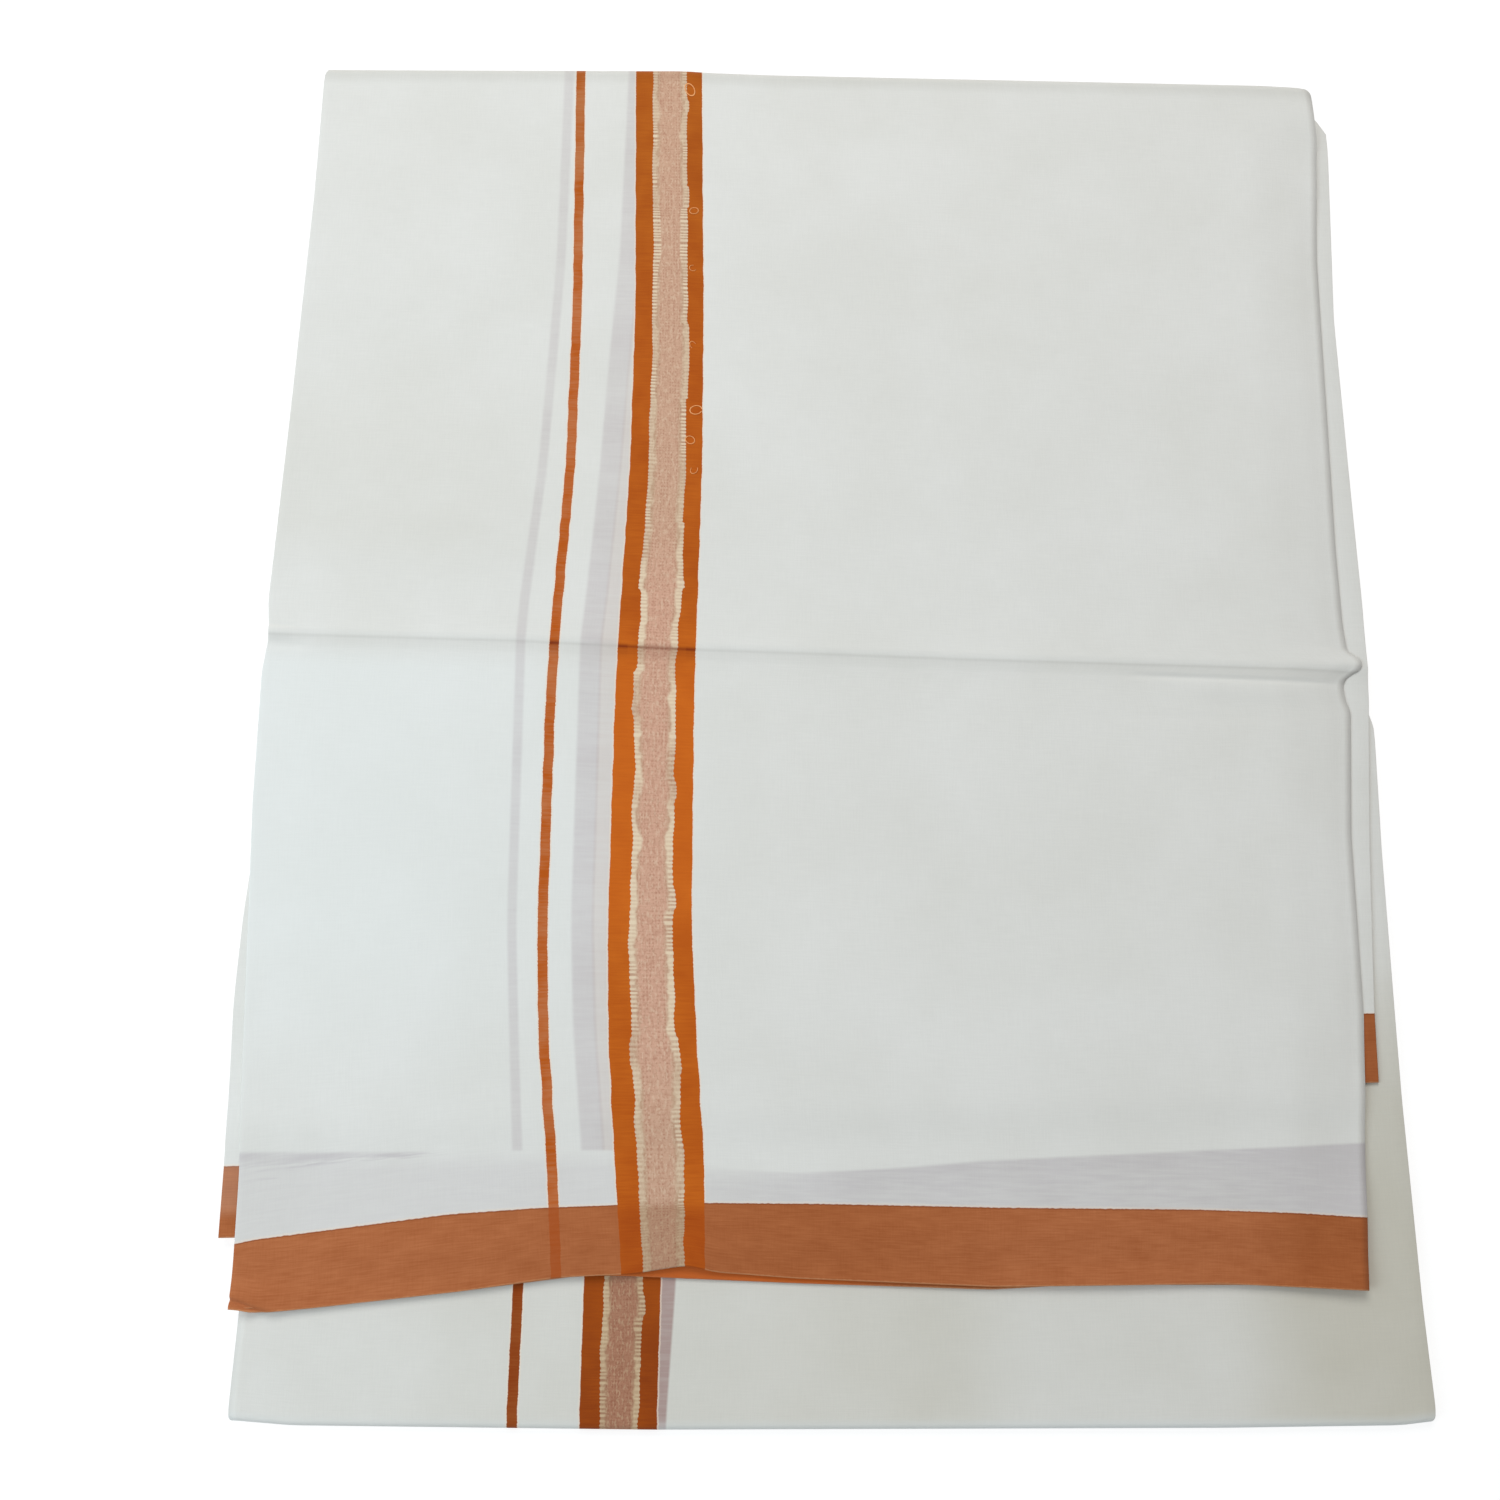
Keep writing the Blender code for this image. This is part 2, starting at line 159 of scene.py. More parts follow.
# Where the front hem lifts off. Columns: x, y, reach along x, reach along y, height
HEM_LIFTS = metres(
    (-239.5, -262, 30, 16, 1.2),
    (-56.5, -245, 26, 14, 1.4),
    (115.5, -254, 50, 14, 0.6),
    (226.5, -255, 45, 26, 2),
)

# Where the crease's ends stand up, with the same columns
CREASE_LIFTS = metres((241, 12.5, 14, 6, 1.2), (-244, 26.2, 14, 5, 0.7))

# Loose threads. Columns: x, y, half length, half width, turn, sweep in degrees
LOOSE_THREADS = (
    (-0.0584, 0.2965, 0.0034, 0.0021, 24, 360),
    (-0.0560, 0.2326, 0.0016, 0.0021, 8, 360),
    (-0.0563, 0.2032, 0.0017, 0.0014, 80, 240),
    (-0.0560, 0.1643, 0.0020, 0.0013, 30, 210),
    (-0.0544, 0.1321, 0.0021, 0.0028, 10, 330),
    (-0.0570, 0.1174, 0.0022, 0.0018, 60, 360),
    (-0.0551, 0.1028, 0.0019, 0.0015, 140, 250),
)

# The course of the stripes down the front. Columns: y, thin line's middle, wide band's two edges
FRONT_STRIPES = metres(
    (306.1, -111.1, -84.5, -52.7),
    (183, -110.2, -83, -51.2),
    (103.8, -111.6, -84.4, -51.4),
    (42.4, -115.8, -87.5, -53.1),
    (-5.1, -118, -89.4, -54.3),
    (-102.9, -119, -90.7, -54.7),
    (-148.3, -117.6, -89.9, -52.5),
    (-201.5, -112.8, -86.4, -48.8),
    (-246, -109.8, -82.8, -48.1),
)
# The stripes of the leaf behind, that show through. Columns: y, left edges of line and band
SHADOW_STRIPES = metres(
    (306.1, -118.8, -87.9),
    (210.4, -120.4, -90.7),
    (156.3, -123.2, -94.9),
    (103.8, -126.4, -98.1),
    (42.4, -132.9, -103.2),
    (20.1, -134, -105.4),
    (-102.9, -134.3, -106.7),
    (-148.3, -132, -104.8),
    (-200, -129.1, -100),
)
# The top edge of the selvedge behind. Columns: x, y
SHADOW_HEM = metres(
    (-242.1, -199.2), (-87.3, -199), (-46.2, -205.5), (-9.9, -207.5), (30.7, -205.5),
    (71.4, -202.3), (152.8, -198.6), (228, -195.4),
)
# The same for the back panel. Columns: y, thin line's middle, wide band's two edges
BACK_STRIPES = metres(
    (300, -115, -88, -56),
    (-253.3, -125.8, -98.5, -66.6),
    (-307.9, -127.1, -99.4, -67.7),
)
# The right edge of the wide band behind it. Columns: y, x
BACK_BEHIND = metres((300, -49), (-253.3, -60.4), (-307.9, -64))

# Soft folds pressed into the cloth. Columns: from x, y, to x, y, half width, height
FRONT_FOLDS = metres(
    (130, 6.4, 248, 2.2, 1.3, -0.5),
    (150, 0.5, 248, -3, 3.6, 0.34),
    (125, -11.8, 210, -14, 1.4, -0.16),
    (160, -8.5, 250, -11, 5, -0.22),
    (-176, 124, -140, 33, 3, 0.16),
    (-254, 30, -231, 28.8, 0.9, -0.4),
    (-256, 21.5, -225, 19.8, 2.4, -0.3),
    (-210, 270, -205, 110, 12, -0.16),
    (-250, -257, -223, -266.8, 1, -1.7),
)

# -------------------------------- the cloth's form


def curve(table, at, soft=0.003):
    """The second column of a table where the first is `at`, with its corners rounded."""
    rows = sorted(table)
    first = [row[0] for row in rows]
    second = [row[1] for row in rows]
    shifts = np.linspace(-soft, soft, 5)
    return sum(np.interp(at + shift, first, second) for shift in shifts) / len(shifts)


def ease(share):
    """0 to 1, soft at both ends."""
    share = np.clip(share, 0.0, 1.0)
    return share * share * (3.0 - 2.0 * share)


def line(table, offset=0.0, soft=0.003):
    return lambda at: curve(table, at, soft) + offset


def stripe_line(table, column, offset=0.0):
    """One column of a table of stripes, as a line down the cloth."""
    return line([(row[0], row[column]) for row in table], offset, STRIPE_ROUNDING)


def between(low, high, share):
    """The line at a share of the way from one line to another."""
    return lambda at: low(at) + (high(at) - low(at)) * share


def moved(place, distance):
    return lambda at: place(at) + distance


def crease_height(x, y):
    return curve(CREASE_PROFILE, y - curve(CREASE, x), 0.0005)


def hem_drop(hem, x, y):
    """How far a layer comes down past the hem of one that ends under it."""
    past = curve(hem, x) - DROP_START - y
    return DROP * ease(past / DROP_LENGTH)


def lifts(spots, x, y):
    """Small soft rises at the spots of a table."""
    total = 0.0
    for at_x, at_y, reach_x, reach_y, height in spots:
        away = np.hypot((x - at_x) / reach_x, (y - at_y) / reach_y)
        total = total + height * ease(1.0 - away)
    return total


def soft_folds(folds, x, y):
    """Shallow ridges and troughs along short lines, that fade at their ends."""
    total = np.zeros_like(x)
    for from_x, from_y, to_x, to_y, half_width, height in folds:
        length = math.hypot(to_x - from_x, to_y - from_y)
        run_x = (to_x - from_x) / length
        run_y = (to_y - from_y) / length
        along = (x - from_x) * run_x + (y - from_y) * run_y
        aside = (y - from_y) * run_x - (x - from_x) * run_y
        fade = ease(along / (0.25 * length)) * ease((length - along) / (0.25 * length))
        total = total + height * np.exp(-((aside / half_width) ** 2)) * fade
    return total


def slack(x, y, turn):
    """The slow unevenness of cloth that lies loose."""
    waves = np.sin(31 * x + 13 * y + turn) * np.sin(23 * y - 9 * x + 2 * turn)
    ripples = np.sin(83 * x - 29 * y + 3 * turn) * np.sin(61 * y + 37 * x + turn)
    return 0.00016 * waves + 0.00006 * ripples


def level_at(level, hidden_hems, x, y):
    """The height of a layer's top, with the crease and the drops past the hems under it."""
    drop = sum(hem_drop(hem, x, y) for hem in hidden_hems)
    return level + crease_height(x, y) - drop


def wavering(edge, turn, size=0.0004):
    """An edge that wanders a little, as a hand-laid fold does."""
    return lambda y: edge(y) + size * (np.sin(47 * y + turn) + 0.6 * np.sin(113 * y + 2.3 * turn))


def spaced(stops, counts):
    """Places from one stop to the next. A stop is a thread coordinate and a line on the cloth."""
    places = []
    for (thread, here), (next_thread, there), count in zip(stops, stops[1:], counts):
        for step in range(count):
            share = step / count
            at = thread + (next_thread - thread) * share
            places.append((at, between(here, there, share), 0.0))
    places.append((stops[-1][0], stops[-1][1], 0.0))
    return places


def pair_columns(upper, upper_counts, depth, lip, lower=None, lower_counts=(10,)):
    """Columns round a folded pair of leaves: the upper one, the lip at one side, the lower one."""
    radius = depth / 2
    top = spaced(upper, upper_counts)
    fold_u, fold_line = upper[0] if lip < 0 else upper[-1]
    open_u, open_line = upper[-1] if lip < 0 else upper[0]
    if lower is None:
        far_u = fold_u - (open_u - fold_u)
        ends = [(far_u, open_line), (fold_u, fold_line)]
        lower = ends if lip < 0 else ends[::-1]
    bottom = spaced(lower, lower_counts)
    bottom = [(u, place, depth) for u, place, _ in bottom]
    bend = []
    for step in range(1, LIP_STEPS):
        turn = math.pi * step / LIP_STEPS
        out = lip * radius * math.sin(turn)
        bend.append((fold_u, lambda y, out=out: fold_line(y) + out, radius * (1 - math.cos(turn))))
    if lip < 0:
        return bottom + bend[::-1] + top
    return top + bend + bottom


def object_from(bm, name):
    """An object of the scene, made from a finished bmesh."""
    mesh = bpy.data.meshes.new(name)
    bm.to_mesh(mesh)
    bm.free()
    item = bpy.data.objects.new(name, mesh)
    bpy.context.collection.objects.link(item)
    return item


def map_threads(bm, verts, columns, rows):
    """Smooth faces, and a map of the thread coordinates on them."""
    threads = bm.loops.layers.uv.new("threads")
    number = {vert: i for i, vert in enumerate(verts)}
    for face in bm.faces:
        face.smooth = True
        for loop in face.loops:
            row, column = divmod(number[loop.vert], len(columns))
            loop[threads].uv = (columns[column][0], rows[row][0])


def lay_cloth(name, columns, rows, height, roll=None, squeeze=None):
    """A leaf or folded pair of leaves, laid on its level and rolled round its fold."""
    bm = bmesh.new()
    bmesh.ops.create_grid(bm, x_segments=len(columns) - 1, y_segments=len(rows) - 1, size=0.5)
    depth = np.array([column[2] for column in columns])[None, :]
    turn = np.array([row[2] for row in rows])[:, None]
    x = np.zeros((len(rows), len(columns)))
    y = np.zeros_like(x)
    for _ in range(FITTING_ROUNDS):
        for i, (_, across, _) in enumerate(rows):
            y[i] = across(x[i])
        if roll:
            radius, side = roll
            out = side * ((radius - depth) * np.sin(turn) - radius * (turn < math.pi))
            y = np.where(turn > 0, y + out, y)
        for j, (_, down, _) in enumerate(columns):
            x[:, j] = down(y[:, j])
    z = height(x, y) - depth
    if squeeze:
        z = squeeze(x, y, z)
    if roll:
        z = np.where(turn > 0, radius + (radius - depth) * np.cos(turn), z)
    verts = sorted(bm.verts, key=lambda vert: (round(vert.co.y, 6), round(vert.co.x, 6)))
    spots = np.stack([x, y, z], axis=-1).reshape(-1, 3)
    for vert, spot in zip(verts, spots):
        vert.co = spot
    map_threads(bm, verts, columns, rows)
    cloth = object_from(bm, name)
    body = cloth.modifiers.new("cloth", "SOLIDIFY")
    body.thickness = CLOTH
    body.offset = -1.0
    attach(cloth, "root")
    return cloth


# -------------------------------- material graphs


def math_node(operation):
    """A method of Socket that adds a Math node."""
    def method(*values):
        return values[0].make("Math", {"operation": operation}, dict(enumerate(values)))

    return method


class Socket:
    """A socket of a material. Arithmetic on it adds Math nodes."""

    __add__ = __radd__ = math_node("ADD")
    __mul__ = __rmul__ = math_node("MULTIPLY")
    __sub__ = math_node("SUBTRACT")
    __truediv__ = math_node("DIVIDE")
    larger = math_node("MAXIMUM")
    smaller = math_node("MINIMUM")
    fraction = math_node("FRACT")
    whole = math_node("FLOOR")
    sine = math_node("SINE")

    def __init__(self, tree, end=None):
        self.tree = tree
        self.end = end

    def __rsub__(self, other):
        return self.make("Math", {"operation": "SUBTRACT"}, {0: other, 1: self})

    def make(self, kind, settings=None, inputs=None, output=0):
        node = self.tree.nodes.new("ShaderNode" + kind)
        for name, value in (settings or {}).items():
            setattr(node, name, value)
        for key, value in (inputs or {}).items():
            if isinstance(value, Socket):
                self.tree.links.new(value.end, node.inputs[key])
            else:
                node.inputs[key].default_value = value
        return Socket(self.tree, node.outputs[output])

    def past(self, start, width):
        """0 before `start`, 1 past `start` + `width`, soft between."""
        rise = {"Value": self, "From Min": start, "From Max": start + width}
        return self.make("MapRange", {"interpolation_type": "SMOOTHSTEP"}, rise)

    def within(self, low, high, soft):
        """1 between two values, 0 outside, soft at both."""
        return self.past(low - soft / 2, soft) - self.past(high - soft / 2, soft)

    def uv(self, name):
        """The two values of a map."""
        place = self.make("UVMap", {"uv_map": name})
        node = self.make("SeparateXYZ", None, {0: place}).end.node
        return Socket(self.tree, node.outputs[0]), Socket(self.tree, node.outputs[1])

    def noise(self, x, y, detail=1.0):
        """Noise from 0 to 1 over two values."""
        place = self.make("CombineXYZ", None, {"X": x, "Y": y})
        grain = {"Vector": place, "Scale": 1.0, "Detail": detail, "Roughness": 0.6}
        return self.make("TexNoise", {"noise_dimensions": "2D"}, grain)

    def wander(self, along, detail=1.0):
        """Noise from -0.5 to 0.5 along one value."""
        grain = {"W": along, "Scale": 1.0, "Detail": detail, "Roughness": 0.6}
        return self.make("TexNoise", {"noise_dimensions": "1D"}, grain) - 0.5

    def dice(self, value):
        """One chance value, from 0 to 1, for each value."""
        return self.make("TexWhiteNoise", {"noise_dimensions": "1D"}, {"W": value})

    def blend(self, share, first, second, kind="MIX"):
        """Two colours, mixed or combined in another way."""
        settings = {"data_type": "RGBA", "blend_type": kind, "clamp_factor": True}
        return self.make("Mix", settings, {0: share, 6: first, 7: second}, 2)

    def tint(self, share, first, second):
        """A colour multiplied by another."""
        return self.blend(share, first, second, "MULTIPLY")


def color(red, green, blue):
    """A colour from its 8-bit display values."""
    def linear(value):
        value /= 255
        return value / 12.92 if value <= 0.04045 else ((value + 0.055) / 1.055) ** 2.4

    return (linear(red), linear(green), linear(blue), 1.0)


# Dyes, and the shades that colours are multiplied by
BARE = (1.0, 1.0, 1.0, 1.0)
THREAD_SHADE = (0.965, 0.965, 0.965, 1.0)
PATCH_SHADE = (0.960, 0.958, 0.948, 1.0)
RIB_SHADE = (0.86, 0.83, 0.81, 1.0)
HEM_DARKENING = (0.83, 0.75, 0.60, 1.0)
WHITE = color(229, 229, 225)
PALE_EDGE = color(242, 222, 200)
THREAD = color(246, 176, 112)
# The back panel's copies of the dyes are deeper, and darkened with painted shade
STRIPE_DYES = {     # on the front, and on the back panel in its shade
    "orange": ((203, 105, 24), (164, 76, 10)),
    "orange_deep": ((184, 86, 12), (142, 60, 6)),
    "bright": ((222, 112, 28), (172, 82, 12)),
    "thin": ((196, 124, 80), (158, 84, 36)),
    "peach": ((216, 172, 148), (176, 128, 102)),
    "rose": ((168, 108, 84), (138, 82, 60)),
    "khaki": ((196, 165, 137), (170, 136, 106)),
    "cream": ((234, 215, 186), (216, 194, 158)),
    "over_hem": ((228, 219, 210), (222, 206, 204)),
}
FRONT_DYES, BACK_DYES_AND_SHADE = (
    {name: color(*pair[side]) for name, pair in STRIPE_DYES.items()} for side in (0, 1)
)
SELVEDGE = color(189, 116, 73)
SELVEDGE_DEEP = color(170, 97, 55)
SELVEDGE_RIM = color(226, 164, 116)
# Painted light on the second leaf's selvedge
PAINTED_HEM_LIGHT = color(214, 100, 22)
SHADE_MAUVE = (0.82, 0.775, 0.80, 1.0)
SHADE_ROSY = (0.89, 0.825, 0.815, 1.0)
SHADE_HEM = (0.80, 0.77, 0.805, 1.0)
SHADE_EDGE = (0.63, 0.47, 0.47, 1.0)
CROSSED_DYE = (0.84, 0.74, 0.70, 1.0)
UPPER_DYE = (0.90, 0.88, 0.86, 1.0)
TOP_DYE = (0.92, 1.0, 1.0, 1.0)
# Painted shade for the crease and the top fold, and a darkening of dyes for the crease's painted
# shade and the selvedge's top line
PAINTED_FOLD_SHADE = (0.66, 0.65, 0.62, 1.0)
DYE_DARKENING = (0.46, 0.28, 0.22, 1.0)
# Painted shade, darker and yellower
PAINTED_YELLOW_SHADE = (0.80, 0.77, 0.69, 1.0)
# Painted light on the rolled bottom fold and on the flap's lower left
PAINTED_FOLD_LIGHT = color(226, 233, 234)
PAINTED_COOL_LIGHT = color(236, 244, 244)


class Weave:
    """The woven ground of a material, and the maps that its patterns are drawn in."""

    def __init__(self, tree):
        self.socket = s = Socket(tree)
        self.u, self.v = s.uv("threads")
        self.weft = s.noise(self.u * 90.0, self.v * 1500.0)
        self.warp = s.noise(self.u * 1500.0, self.v * 110.0)
        cross = (self.u * (math.tau / WEAVE)).sine()
        along = (self.v * (math.tau / WEAVE)).sine()
        self.relief = (self.weft + self.warp) * 0.45 + cross * along * 0.10

    def streaks(self):
        """Noise in long streaks along the weft."""
        return self.socket.noise(self.u * 45.0, self.v * 620.0, 2.0)

    def from_crease(self):
        """The distance above the crease's line."""
        return self.socket.make("Attribute", {"attribute_name": "pressed"}, None, 2)

    def ground(self):
        """The undyed cloth."""
        s = self.socket
        cloud = s.noise(self.u * 15.0, self.v * 15.0, 3.0)
        threads = (self.weft + self.warp - 0.6) * 1.2
        tone = s.blend(threads, THREAD_SHADE, BARE)
        patches = s.blend((cloud - 0.32) * 2.6, PATCH_SHADE, BARE)
        return s.tint(1.0, s.tint(1.0, WHITE, tone), patches)


def plain_material(name, values):
    """A material, from the values of its sockets."""
    material = bpy.data.materials.new(name)
    material.use_nodes = True
    shader = material.node_tree.nodes["Principled BSDF"]
    for key, value in values.items():
        shader.inputs[key].default_value = value
    return material


def cotton(name, patterns):
    """Fine white cotton with its patterns over it, each made once."""
    if name in bpy.data.materials:
        return bpy.data.materials[name]
    sheen = {"Specular IOR Level": 0.20, "Sheen Weight": 0.06, "Sheen Roughness": 0.5}
    material = plain_material(name, sheen)
    tree = material.node_tree
    weave = Weave(tree)
    ground = weave.ground()
    for pattern in patterns:
        ground = pattern(weave, ground)
    bump = {"Strength": 0.35, "Distance": 0.00012, "Height": weave.relief}
    normal = weave.socket.make("Bump", None, bump)
    rough = 0.86 + weave.relief * 0.10
    shader = tree.nodes["Principled BSDF"]
    tree.links.new(ground.end, shader.inputs["Base Color"])
    tree.links.new(rough.end, shader.inputs["Roughness"])
    tree.links.new(normal.end, shader.inputs["Normal"])
    return material


def in_hem(down):
    """1 on the woven selvedge, 0 past it."""
    return 1.0 - down.past(HEM_BAND - 0.0002, 0.0004)


def on_stripes(across, margin, soft):
    """1 on the thin line and the wide band, with a margin round both."""
    thin = across.within(THIN_LINE[0] - margin, THIN_LINE[1] + margin, soft)
    return thin + across.within(WIDE_BAND[0] - margin, WIDE_BAND[1] + margin, soft)


def stripes_behind(weave, ground):
    """The stripes of the leaf behind, seen faintly through this one."""
    s = weave.socket
    across, below = s.uv("behind")
    above = 1.0 - below.past(-0.0010, 0.0016)
    strength = (0.92 + s.wander(weave.v * 38.0) * 0.5) * (0.72 + weave.streaks() * 0.56) * above
    strength = strength * (1.0 - weave.v.past(0.20, 0.24) * 0.16)
    thin = across.within(*THIN_LINE, 0.0018) * 0.74
    mauve = thin + across.within(0.0, 0.0096, 0.0020) * 0.90
    rosy = across.within(0.0090, METALLIC_BAND[1], 0.0016) * 0.95
    ground = s.tint(mauve * strength, ground, SHADE_MAUVE)
    return s.tint(rosy * strength, ground, SHADE_ROSY)


def hem_behind(weave, ground):
    """The selvedge of the leaf behind, seen through this one, and the wedge over its left end."""
    s = weave.socket
    across, below = s.uv("behind")
    streak = weave.streaks()
    right = weave.u.past(0.0, 0.12)
    far_right = weave.u.past(0.26, 0.06)
    depth = 0.46 + right * 0.27 + far_right * 0.24 + (streak - 0.5) * (0.25 + right * 0.45)
    near = 1.0 - below.past(0.0010, 0.013)
    ragged = s.noise(weave.u * 30.0, weave.v * 420.0, 3.0) - 0.5
    wedge = (across * -0.118 - 0.0068 - below + ragged * 0.012).past(-0.0016, 0.0044)
    depth = depth + near * right * 0.16 + wedge * (0.34 + ragged * 1.2)
    edge = below.past(-0.0002, 0.0018) * right + below.past(-0.0020, 0.0110) * (1.0 - right)
    return s.tint(edge.larger(wedge * below.past(-0.0006, 0.0024)) * depth, ground, SHADE_HEM)


def edge_shade(weave, ground):
    """A narrow strip of the band behind, that shows beside the wide band."""
    s = weave.socket
    across, _ = s.uv("behind")
    strip = across.within(METALLIC_BAND[1], WIDE_BAND[1], 0.0012)
    return s.tint(strip * (0.70 + weave.streaks() * 0.5), ground, SHADE_EDGE)


def back_painted_shade(weave, ground):
    """Painted shade on the lowest panel: duller and yellower towards its fold, and most at the
    right, in uneven patches.
    """
    s, u, v = weave.socket, weave.u, weave.v
    patch = s.noise(u * 11.0, v * 11.0 + 3.0, 2.0)
    low = 1.0 - v.past(FOLD_START + 0.13, 0.09)
    right = u.past(-0.16, 0.50)
    share = (right * (0.20 + patch * 0.9) + 0.06 + patch * 0.14) * low + 0.04
    less_painted_shade = u.within(0.16, 0.27, 0.05)
    ground = s.tint(share * (1.0 - less_painted_shade * 0.70), ground, PAINTED_YELLOW_SHADE)
    # Painted light on the rolled bottom fold
    rolled = 1.0 - v.past(FOLD_START - 0.0010, 0.0070)
    return s.blend(rolled * (0.42 + right * 0.40), ground, PAINTED_FOLD_LIGHT)


def left_painted_light(weave, ground):
    """Painted light at the left: the flap is whiter and cooler below its crease, and a little darker
    and yellower above it.
    """
    s = weave.socket
    away = weave.from_crease()
    left = 1.0 - weave.u.past(-0.12, 0.20)
    lower = away.past(-0.235, 0.12) - away.past(-0.016, 0.016)
    upper = away.past(0.026, 0.030) - away.past(0.090, 0.070)
    ground = s.blend(lower * left * 0.32, ground, PAINTED_COOL_LIGHT)
    return s.tint(upper * left * 0.18, ground, PAINTED_YELLOW_SHADE)


def pressed(dyed):
    """A pattern of painted shade along the pressed crease and below it, stronger on dyed threads,
    and over the top fold.
    """
    def pattern(weave, ground):
        s = weave.socket
        away = weave.from_crease()
        mark = away.within(-0.0011, 0.0001, 0.0009)
        below = away.past(-0.0075, 0.0060) - away.past(-0.0006, 0.0006)
        right = weave.u.past(0.10, 0.16)
        # Painted shade: a dark line on the crease, and a band below it that is darker towards the
        # right
        ground = s.tint(mark * 0.14 + below * (0.10 + right * 0.08), ground, PAINTED_FOLD_SHADE)
        # Painted shade over the far side of the top fold
        ground = s.tint(weave.v.past(0.5450, 0.0070) * 0.28, ground, PAINTED_FOLD_SHADE)
        if not dyed:
            return ground
        # On dyed threads the painted shade is deeper
        soft_mark = away.within(-0.0012, 0.0004, 0.0014)
        on_dye = on_stripes(weave.u, 0.0, 0.0002) * dyed
        return s.tint((soft_mark * 0.75 + below * 0.40) * on_dye, ground, DYE_DARKENING)

    return pattern


def selvedge(weave, ground):
    """The dyed band along the cloth's edge, with fine streaks along it and pale rims."""
    s = weave.socket
    v = weave.v + s.wander(weave.u * 420.0) * 0.0004
    woven = in_hem(v)
    blotch = s.noise(weave.u * 60.0, weave.v * 120.0, 3.0)
    grain = weave.weft * 1.0 + weave.warp * 0.4 + blotch * 0.9 - 0.65
    dyed = s.blend(grain, SELVEDGE_DEEP, SELVEDGE)
    # The band is darker along some stretches of its length, most towards the right
    darker_stretches = weave.u.past(-0.16, 0.26) * 0.7 - weave.u.past(0.10, 0.10) * 0.6
    darker_stretches = darker_stretches + weave.u.past(0.27, 0.04) * 0.8
    dyed = s.tint(darker_stretches, dyed, HEM_DARKENING)
    dyed = s.blend((1.0 - v.past(0.0003, 0.0004)) * 0.45, dyed, SELVEDGE_RIM)
    dyed = s.tint(v.within(HEM_BAND - 0.0007, HEM_BAND, 0.0004) * 0.45, dyed, DYE_DARKENING)
    halo = 1.0 - v.past(HEM_BAND + 0.0005, 0.0005)
    return s.blend(woven, s.blend(halo * 0.35, ground, PALE_EDGE), dyed)


def painted_light_on_hem(weave, ground):
    """Painted light on the stretch of the second leaf's selvedge that looks out, which is brighter
    and more orange.
    """
    s = weave.socket
    return s.blend(weave.u.within(0.20, 0.33, 0.06) * in_hem(weave.v) * 0.65, ground, PAINTED_HEM_LIGHT)


def worn_corner(weave, ground):
    """The selvedge corner that looks out at the left is worn paler above its lowest rim."""
    s = weave.socket
    worn = (1.0 - weave.u.past(0.08, 0.04)) * weave.v.past(0.0070, 0.0080) * in_hem(weave.v)
    return s.blend(worn * 0.11, ground, PALE_EDGE)


# What is added to the selvedge of a stretch under the front: painted light on the second's, wear on
# the left under-layer's
HEM_LIGHT_AND_WEAR = {"second": [painted_light_on_hem], "left_under": [worn_corner]}


def cross_stripes(dyes):
    """A pattern for the thin line and the wide band, with ragged edges."""
    def pattern(weave, ground):
        s, u, v = weave.socket, weave.u, weave.v
        rag = s.wander(v * 1300.0) * 0.0004 + s.wander(v * 95.0 + 7.0) * 0.0007
        across = u + rag
        blotch = s.noise(u * 50.0, v * 50.0, 2.0)
        grain = weave.weft * 0.9 + blotch * 1.4 - 0.75
        dyed = s.blend(grain, dyes["orange_deep"], dyes["orange"])
        thin = across.within(*THIN_LINE, STRIPE_SOFT)
        wide = across.within(*WIDE_BAND, STRIPE_SOFT)
        dyed = s.blend(v.within(0.135, 0.245, 0.04) * 0.35, dyed, dyes["bright"])
        dyed = s.tint(v.past(0.25, 0.03), dyed, UPPER_DYE)
        dyed = s.tint(v.past(0.36, 0.16), dyed, TOP_DYE)
        crossed = in_hem(v)
        open_cloth = 1.0 - crossed
        ground = s.blend(on_stripes(across, HALO, 0.0003) * open_cloth * 0.55, ground, PALE_EDGE)
        dyed = s.tint(1.0 - v.past(HEM_BAND - 0.0090, 0.0130), dyed, CROSSED_DYE)
        line_dye = s.blend(grain, dyes["orange_deep"], dyes["thin"])
        line_dye = s.tint(v.past(0.40, 0.14), line_dye, TOP_DYE)
        line_dye = s.blend(crossed * 0.7, line_dye, dyes["orange_deep"])
        line_dye = s.tint(crossed, line_dye, CROSSED_DYE)
        ground = s.blend(thin * (0.80 + open_cloth * 0.20), ground, line_dye)
        return s.blend(wide, ground, dyed)

    return pattern


def band_centre(weave, dyes, khaki, knots):
    """The wide band's peach centre: ribs, short dark and pale rows, chains of knots and specks."""
    s, u, v = weave.socket, weave.u, weave.v
    twist = u + s.wander(v * 150.0 + 50.0) * 0.0008
    dark_rows = s.noise(twist * 1000.0, v * 240.0, 2.0).past(0.50, 0.16)
    pale_rows = s.noise(twist * 900.0 + 40.0, v * 330.0, 2.0).past(0.52, 0.14)
    speck = s.noise(u * 900.0, v * 1100.0).past(0.58, 0.08)
    ribs = s.blend((weave.weft - 0.3) * 2.2, RIB_SHADE, BARE)
    centre = s.blend(khaki, s.tint(0.7, dyes["peach"], ribs), dyes["khaki"])
    centre = s.blend(dark_rows * 0.22, centre, dyes["rose"])
    centre = s.blend(pale_rows * 0.26, centre, dyes["cream"])
    centre = s.blend(knots * 0.34, centre, dyes["rose"])
    return s.blend(speck * 0.30, centre, dyes["rose"])


